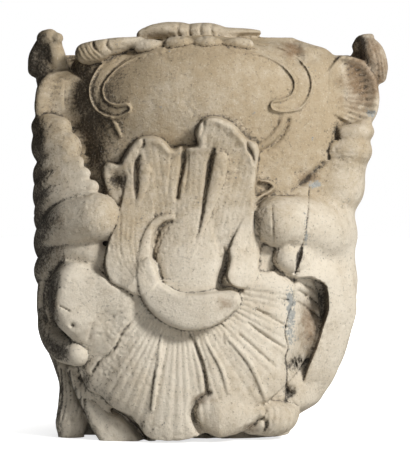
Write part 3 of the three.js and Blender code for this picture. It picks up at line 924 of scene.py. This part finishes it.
def sharpenFront(mesh):
    spots = readSpots(mesh)
    normals = readNormals(mesh)
    grid = sheet.reshape(len(levels), len(columns))
    i = np.clip((spots[:, 0] - columns[0]) / sheetSizes["step"], 0, len(columns) - 1.001)
    j = np.clip((spots[:, 2] - levels[0]) / sheetSizes["step"], 0, len(levels) - 1.001)
    i0 = i.astype(int)
    j0 = j.astype(int)
    u = i - i0
    v = j - j0
    low = grid[j0, i0] * (1 - u) + grid[j0, i0 + 1] * u
    high = grid[j0 + 1, i0] * (1 - u) + grid[j0 + 1, i0 + 1] * u
    forward = low * (1 - v) + high * v
    close = (np.abs(spots[:, 1] - forward) < fuse["sheetReach"]) & (normals[:, 1] > fuse["sheetFacing"])
    close &= sum(flushShare(spots, zone) for zone in flushZones) < 0.1
    spots[close, 1] = forward[close]
    writeSpots(mesh, spots)
    print("drawn back to the sheet:", int(close.sum()))


# breaks, cracks and wear; the mended fragment runs down the right side

wear = {
    # x, z, half width, depth
    "cracks": [
        [
            [127, 312, 1.1, 2.2], [125, 286, 1.2, 2.6], [122, 262, 1.2, 2.6], [118, 242, 1.2, 2.6],
            [114, 227, 2.6, 13], [109, 205, 1, 2.5], [107, 190, 1, 2.5], [106, 170, 1, 2.5],
            [100, 154, 1.1, 3], [96, 134, 1.1, 3], [100, 115, 1.2, 3],
            [97, 102, 1.4, 4], [99, 86, 1.4, 4], [98, 70, 1.6, 5], [100, 57, 2, 6], [98, 46, 1.6, 5],
        ],
        [[80, 292, 0.9, 1.6], [81, 265, 1, 2.4], [82, 238, 0.9, 2]],
        [[-181, 168, 1.2, 3], [-169, 162, 1.2, 3]],
        [[84, 214, 4, 7], [95, 204, 4.6, 10], [108, 197, 4, 9]],
        [[100, 174, 1.2, 3], [88, 176, 1.2, 2]],
        [[106, 310, 2.5, 4], [118, 317, 3.5, 6], [126, 326, 3.5, 6], [136, 334, 3.5, 5], [146, 343, 3, 4]],
        [[39, 11, 2.4, 4], [56, 21, 3, 6], [67, 28, 2.6, 5], [73, 20, 2.6, 6], [69, 9, 2.4, 4]],
        [[152, 482, 1, 1], [152, 440, 1, 1.2], [149, 405, 1, 1]],
        [[-143, 497, 1.6, 3], [-142, 488, 2, 4], [-138, 483, 1.6, 2]],
        [[-124, 498, 1.6, 3], [-125, 489, 2, 4], [-120, 483, 1.6, 2]],
    ],
    # sets of alike lines: x and z of the first, the move to the next, how many, half width and depth
    "lineSets": [
        {"path": [[-184, 84], [-182, 50], [-187, 24]], "move": [6, 0], "count": 6, "cut": [1.7, 2]},
        {"path": [[66, 48], [74, 38], [72, 20], [62, 4]], "move": [7.5, 0], "count": 6, "cut": [1.7, 1.9]},
        {"path": [[-164, 486], [-158, 474], [-150, 466]], "move": [5, 2.4], "count": 5, "cut": [1.3, 1.4]},
        {"path": [[-34, 521], [-37, 509], [-33, 498]], "move": [14, 0], "count": 4, "cut": [1.8, 2.6]},
        {"path": [[204, 500], [212, 476], [216, 448]], "move": [4.5, -1], "count": 3, "cut": [1.3, 1.6]},
        {"path": [[-212, 446], [-190, 444], [-166, 450]], "move": [0, -8], "count": 6, "cut": [2.2, 0.5]},
        {"path": [[160, 366], [180, 367], [200, 364]], "move": [-2, -6], "count": 4, "cut": [2, 0.6]},
    ],
    # x, z, radius across, radius up, depth
    "chips": [
        [114, 332, 9, 8, 4], [128, 322, 8, 7, 4], [118, 318, 6, 5, 3], [94, 170, 5, 5, 4],
        [-166, 144, 4, 4, 4],
        [-72, 372, 8, 5, 3], [109, 93, 11, 10, 20], [103, 57, 7, 8, 14], [205, 404, 7, 7, 3],
        [-158, 74, 8, 9, 10],
    ],
    "carvedFrom": [60, 110],  # forward of the back, where the carving begins
    "unevenness": 1.3,
    "pitting": 0.7,
    # size in millimetres and seed
    "grains": {"chip": (5, 11), "broad": (34, 5), "middle": (13, 6), "pit": (3.4, 7), "patch": (24, 8)},
}


def wearStone(mesh):
    spots = readSpots(mesh)
    normals = readNormals(mesh)
    facing = ease(normals[:, 1], -0.1, 0.3)
    paths = list(wear["cracks"])
    for lines in wear["lineSets"]:
        dx, dz = lines["move"]
        for i in range(lines["count"]):
            paths.append([[x + i * dx, z + i * dz, *lines["cut"]] for x, z in lines["path"]])
    grains = wear["grains"]
    x, forward, z = spots.T
    for path in paths:
        forward -= lineDepth(path, x, z) * facing
    for chip in wear["chips"]:
        rough = 0.5 + grain(spots, *grains["chip"])
        forward -= hollowDepth(chip, x, z) * rough * facing
    carved = ease(forward, *wear["carvedFrom"])
    broad = grain(spots, *grains["broad"]) + 0.5 * grain(spots, *grains["middle"]) - 0.75
    pits = ease(grain(spots, *grains["pit"]) * 0.55 + grain(spots, *grains["patch"]) * 0.45, 0.6, 0.8)
    push = (wear["unevenness"] * broad - wear["pitting"] * pits) * carved
    spots += normals * push[:, None]
    writeSpots(mesh, spots)


# where soot with painted shade, brown stain, warm patina and mortar lie, kept on the mesh for the finish

weatherAndShade = {
    # x, z, radius across, radius up, strength
    "sootAndShadeMark": [
        # soot, and painted shade on the left ear, the left flank, the recess left of the cartouche and the
        # hollow of the mended fragment
        [-148, 410, 26, 62, 0.5], [-126, 372, 28, 38, 0.36], [-112, 440, 18, 36, 0.2],
        [-214, 470, 15, 25, 1.7], [-172, 476, 6, 8, 0.7], [-218, 320, 24, 130, 0.5],
        [-180, 66, 14, 26, 0.55], [-180, 120, 16, 16, 0.4], [-120, 317, 16, 9, 0.5], [193, 494, 9, 10, 0.9],
        [160, 382, 9, 8, 0.7], [122, 321, 14, 7, 0.5], [136, 334, 10, 8, 0.5],
        [146, 356, 7, 12, 0.5], [110, 92, 11, 11, 0.8], [103, 56, 9, 10, 0.8], [142, 166, 12, 26, 0.5],
        [54, 15, 16, 9, 0.4], [114, 227, 8, 8, 0.7], [-196, 168, 9, 32, 0.7],
        [-95, 440, 40, 40, 0.12], [-60, 268, 10, 10, 0.3], [-118, 36, 14, 12, 0.2], [208, 462, 22, 34, 0.4],
    ],
    "stain": [
        [126, 324, 20, 14, 0.9], [108, 484, 14, 14, 0.9], [24, 172, 18, 14, 0.85], [-142, 138, 12, 22, 0.7],
        [128, 140, 16, 44, 1], [56, 18, 18, 12, 0.8], [206, 466, 34, 54, 1.1], [180, 420, 34, 44, 0.45],
        [-6, 52, 14, 12, 0.6],
        [20, 450, 70, 40, 0.25], [-110, 20, 30, 20, 0.5], [90, 388, 16, 24, 0.5], [-150, 460, 40, 40, 0.4],
        [30, 488, 110, 20, 0.35], [-180, 265, 22, 26, 0.5], [-185, 230, 16, 18, 0.6],
        [-76, 366, 24, 10, 0.4],
        [14, 390, 26, 12, 0.35], [70, 110, 40, 40, 0.25], [20, 60, 40, 26, 0.25], [-188, 178, 12, 30, 0.7],
        [-140, 60, 20, 30, 0.4], [-50, 325, 22, 34, 0.35],
    ],
    "warmth": [
        [-190, 440, 36, 52, 1], [-190, 366, 30, 40, 0.2], [-8, 176, 60, 20, 0.25],
        [-10, 345, 70, 60, 0.4], [-80, 230, 30, 40, 0.25],
    ],
    "mortar": [
        [103, 142, 9, 34, 0.66], [206, 404, 8, 7, 0.8], [122, 258, 3, 26, 0.6], [104, 172, 7, 22, 0.5],
        [133, 316, 11, 5, 0.9],
    ],
}


# how soot, painted shade and warmth are spread over the stone
soilingAndShade = {
    "hollowTurns": {2: 1.2, 23: 3.5},  # turns of smoothing and the depth that then counts as a full hollow
    "hollowRange": [-1.5, 2],
    # darker in the hollows, from soot and painted shade, and paler on the ridges
    "inHollows": 0.42,
    "onRidges": 0.12,
    "inCrack": 0.17,
    # painted shade on the sides that face left, away from the key lamp
    "shadeOnLeft": 0.8,
    "warmHeights": [150, 390],
    "warmLostProud": 0.45,  # the raised carving is paler than its ground
}


def markWeatherAndShade(mesh):
    s = soilingAndShade
    spots = readSpots(mesh)
    normals = readNormals(mesh)
    pairs = readPairs(mesh)
    x, forward, z = spots.T
    soft = spots.copy()
    hollow = np.zeros(len(spots))
    for turn in range(max(s["hollowTurns"]) + 1):
        soft = neighbourMean(soft, pairs)
        if turn in s["hollowTurns"]:
            hollow += np.einsum("ij,ij->i", soft - spots, normals) / s["hollowTurns"][turn]
    hollow = np.clip(hollow, *s["hollowRange"])
    marks = {}
    for name, zones in weatherAndShade.items():
        marks[name] = sum(hollowDepth(zone, x, z) for zone in zones)
    mortar = marks["mortar"] * ease(normals[:, 1], -0.2, 0.2)
    sootAndShadeMark = marks["sootAndShadeMark"] + s["inCrack"] * lineDepth(wear["cracks"][0], x, z)
    # painted shade on the left-facing sides
    sootAndShadeMark = sootAndShadeMark + s["shadeOnLeft"] * ease(-normals[:, 0], 0.3, 0.85) * ease(forward, *wear["carvedFrom"])
    # soot and painted shade in the hollows, paler on the ridges
    sootAndShadeMark = sootAndShadeMark + s["inHollows"] * np.maximum(hollow, 0) - s["onRidges"] * np.maximum(-hollow, 0)
    proud = ease(forward - frontGround(x, z), 6, 16)
    warmth = ease(z, *s["warmHeights"]) * (1 - s["warmLostProud"] * proud) + marks["warmth"]
    colour = np.stack([sootAndShadeMark, marks["stain"], mortar, warmth], axis=1)
    layer = mesh.color_attributes.new("weatherAndShade", "FLOAT_COLOR", "POINT")
    layer.data.foreach_set("color", np.clip(colour, 0, 1).astype(np.float32).ravel())
    print("weather marked")


def thinStone(stone):
    triangles = sum(len(p.vertices) - 2 for p in stone.data.polygons)
    thin = stone.modifiers.new("thin", "DECIMATE")
    thin.ratio = min(1, fuse["triangles"] / triangles)
    thin.use_collapse_triangulate = True
    applied(stone)
    print("triangles:", triangles, "thinned to", len(stone.data.polygons))


def cutUnderside(stone):
    bm = bmesh.new()
    bm.from_mesh(stone.data)
    geom = list(bm.verts) + list(bm.edges) + list(bm.faces)
    bed = fuse["bedCut"] * mm
    cut = bmesh.ops.bisect_plane(bm, geom=geom, plane_co=(0, 0, bed), plane_no=(0, 0, -1), clear_outer=True)
    edges = [e for e in cut["geom_cut"] if isinstance(e, bmesh.types.BMEdge)]
    bmesh.ops.holes_fill(bm, edges=edges, sides=0)
    for v in bm.verts:
        if abs(v.co.z - bed) < 1e-6:
            v.co.z = 0
    bmesh.ops.triangulate(bm, faces=[f for f in bm.faces if len(f.verts) > 4])
    bm.to_mesh(stone.data)
    bm.free()


stone = fuseStone()
softenFolds(stone.data)
sharpenFront(stone.data)
wearStone(stone.data)
thinStone(stone)
cutUnderside(stone)
markWeatherAndShade(stone.data)
stone.data.polygons.foreach_set("use_smooth", [True] * len(stone.data.polygons))


# a shader node with its settings, and its sockets given a value or a link

def setSockets(tree, node, sockets):
    for key, value in sockets.items():
        if isinstance(value, bpy.types.NodeSocket):
            tree.links.new(value, node.inputs[key])
        else:
            node.inputs[key].default_value = value


def addNode(tree, kind, sockets, **settings):
    node = tree.nodes.new("ShaderNode" + kind)
    for name, value in settings.items():
        setattr(node, name, value)
    setSockets(tree, node, sockets)
    return node


# stone finish, with soot and painted shade in one near-black tone

finish = {
    "pale": (0.665, 0.597, 0.488, 1),
    "warm": (0.40, 0.315, 0.205, 1),
    "brown": (0.21, 0.135, 0.075, 1),
    # near-black tone of soot and painted shade, also used in the pits
    "sootAndShade": (0.035, 0.029, 0.025, 1),
    "mortar": (0.34, 0.34, 0.315, 1),
    "fleck": (0.78, 0.73, 0.63, 1),
    "roughness": 0.93,
    "specular": 0.15,
    # scale, detail and roughness of each cloud
    "clouds": {
        "broad": (7, 5, 0.6), "mottle": (60, 8, 0.72), "speck": (330, 4, 0.7), "fleck": (520, 2, 0.6),
    },
    # how the clouds break up each mark, by their middle and weight, and where the colour comes in
    "layers": {
        "warm": {"breaks": [("broad", 0.46, 2.2), ("mottle", 0.5, 1.5)], "range": (-0.25, 1.1)},
        "brown": {"breaks": [("mottle", 0.55, 1.3)], "range": (0.25, 1.25)},
        "mortar": {"breaks": [("mottle", 0.5, 2.4), ("speck", 0.5, 1.6)], "range": (0.42, 0.58)},
        "sootAndShade": {"breaks": [("mottle", 0.5, 0.9), ("speck", 0.5, 1.9)], "range": (0.2, 1.15)},
    },
    "warmWeight": 0.74,
    "sootAndShadeWeight": 0.9,
    "pits": {"range": (0.55, 0.72), "weight": 0.5},
    "flecks": {"range": (0.6, 0.72), "weight": 0.32},
    "bump": {"strength": 0.7, "distance": 0.0026, "speck": 0.6},
}


def makeStoneFinish():
    f = finish
    material = bpy.data.materials.new("weathered_sandstone_and_painted_shade")
    material.use_nodes = True
    tree = material.node_tree
    place = addNode(tree, "TexCoord", {}).outputs["Object"]

    def cloud(scale, detail, rough):
        sockets = {"Vector": place, "Scale": scale, "Detail": detail, "Roughness": rough}
        return addNode(tree, "TexNoise", sockets).outputs["Fac"]

    def sums(operation, a, b):
        return addNode(tree, "Math", {0: a, 1: b}, operation=operation).outputs[0]

    def between(value, low, high):
        sockets = {"Value": value, "From Min": low, "From Max": high}
        return addNode(tree, "MapRange", sockets, interpolation_type="SMOOTHSTEP").outputs["Result"]

    def blend(share, under, over):
        return addNode(tree, "Mix", {"Factor": share, 6: under, 7: over}, data_type="RGBA").outputs[2]

    marks = addNode(tree, "Attribute", {}, attribute_name="weatherAndShade")
    sootAndShadeMark, stain, mortar = addNode(tree, "SeparateColor", {"Color": marks.outputs["Color"]}).outputs
    clouds = {name: cloud(*look) for name, look in f["clouds"].items()}

    def layer(mark, name):
        look = f["layers"][name]
        for cloudName, middle, weight in look["breaks"]:
            part = sums("MULTIPLY", sums("SUBTRACT", clouds[cloudName], middle), weight)
            mark = sums("ADD", mark, part)
        return between(mark, *look["range"])

    warmth = sums("MULTIPLY", marks.outputs["Alpha"], f["warmWeight"])
    colour = blend(layer(warmth, "warm"), f["pale"], f["warm"])
    colour = blend(layer(stain, "brown"), colour, f["brown"])
    colour = blend(layer(mortar, "mortar"), colour, f["mortar"])
    # soot and painted shade laid over the colour
    colour = blend(sums("MULTIPLY", layer(sootAndShadeMark, "sootAndShade"), f["sootAndShadeWeight"]), colour, f["sootAndShade"])
    for look, cloudName, tint in ((f["pits"], "speck", "sootAndShade"), (f["flecks"], "fleck", "fleck")):
        share = sums("MULTIPLY", between(clouds[cloudName], *look["range"]), look["weight"])
        colour = blend(share, colour, f[tint])
    bump = f["bump"]
    height = sums("ADD", clouds["mottle"], sums("MULTIPLY", clouds["speck"], bump["speck"]))
    relief = addNode(tree, "Bump", {
        "Strength": bump["strength"], "Distance": bump["distance"], "Height": height,
    })
    setSockets(tree, tree.nodes["Principled BSDF"], {
        "Base Color": colour,
        "Roughness": f["roughness"],
        "Specular IOR Level": f["specular"],
        "Normal": relief.outputs["Normal"],
    })
    return material


stone.data.materials.clear()
stone.data.materials.append(makeStoneFinish())
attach(stone, "root")
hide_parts("keystone")
print("stone finished")


# studio

studio = {
    "floorHalf": 6,
    "paper": (0.6, 0.6, 0.59, 1),
    # the floor glows less near the stone, so that a soft shadow stays: metres away and glow
    "glow": {"near": (0.2, 0.72), "far": (0.34, 1.05)},
    "target": (-0.0025, 0.258, 0.150),  # x, z and forward of what the camera looks at
    "distance": 4.0,
    "elevation": 2.2,
    "sensor": 36,
    "pixel": 0.00125,  # metres to a pixel at the target
    "imageWidth": 410,
    "lamps": {
        "key": {"at": (1.9, -1.75, 1.8), "size": 0.7, "watts": 97},
        "fill": {"at": (0.3, -2.8, 0.7), "size": 1.6, "watts": 13},
        "back": {"at": (0.2, 3.0, 1.5), "size": 1.2, "watts": 40},
    },
    "lampTarget": (0, 0, 0.25),
    "ambient": 0.05,
}


def aim(obj, target):
    obj.rotation_euler = (target - obj.location).to_track_quat("-Z", "Y").to_euler()


def makeFloor():
    s = studio
    mesh = bpy.data.meshes.new("studio_floor")
    bm = bmesh.new()
    bmesh.ops.create_grid(bm, x_segments=1, y_segments=1, size=s["floorHalf"])
    bm.to_mesh(mesh)
    bm.free()
    floor = placed("studio_floor", mesh)
    paper = bpy.data.materials.new("studio_paper")
    paper.use_nodes = True
    tree = paper.node_tree
    place = addNode(tree, "TexCoord", {}).outputs["Object"]
    away = addNode(tree, "VectorMath", {0: place}, operation="LENGTH").outputs["Value"]
    (nearAt, nearGlow), (farAt, farGlow) = s["glow"]["near"], s["glow"]["far"]
    glow = addNode(tree, "MapRange", {
        "Value": away, "From Min": nearAt, "From Max": farAt, "To Min": nearGlow, "To Max": farGlow,
    }).outputs["Result"]
    seen = addNode(tree, "LightPath", {}).outputs["Is Camera Ray"]
    glow = addNode(tree, "Math", {0: seen, 1: glow}, operation="MULTIPLY").outputs[0]
    setSockets(tree, tree.nodes["Principled BSDF"], {
        "Base Color": s["paper"],
        "Roughness": 1,
        "Emission Color": (1, 1, 1, 1),
        "Emission Strength": glow,
    })
    mesh.materials.append(paper)


def makeCamera():
    s = studio
    lens = bpy.data.cameras.new("studio_camera")
    camera = placed("studio_camera", lens)
    x, z, forward = s["target"]
    target = Vector((x, backY * mm - forward, z))
    tilt = np.radians(s["elevation"])
    camera.location = target + Vector((0, -np.cos(tilt), np.sin(tilt))) * s["distance"]
    aim(camera, target)
    lens.sensor_fit = "HORIZONTAL"
    lens.sensor_width = s["sensor"]
    lens.lens = s["sensor"] * s["distance"] / (s["pixel"] * s["imageWidth"])
    bpy.context.scene.camera = camera


def makeLight():
    s = studio
    for name, lamp in s["lamps"].items():
        data = bpy.data.lights.new("studio_" + name, "AREA")
        data.size = lamp["size"]
        data.energy = lamp["watts"]
        light = placed("studio_" + name, data)
        light.location = lamp["at"]
        aim(light, Vector(s["lampTarget"]))
    world = bpy.data.worlds.new("studio_world")
    bpy.context.scene.world = world
    world.use_nodes = True
    tree = world.node_tree
    white = (1, 1, 1, 1)
    soft = tree.nodes["Background"]
    setSockets(tree, soft, {"Color": white, "Strength": s["ambient"]})
    bright = addNode(tree, "Background", {"Color": white, "Strength": 1})
    seen = addNode(tree, "LightPath", {}).outputs["Is Camera Ray"]
    mix = addNode(tree, "MixShader", {"Fac": seen, 1: soft.outputs[0], 2: bright.outputs[0]})
    setSockets(tree, tree.nodes["World Output"], {"Surface": mix.outputs[0]})
    bpy.context.scene.view_settings.view_transform = "Standard"


makeFloor()
makeCamera()
makeLight()
print("studio ready")
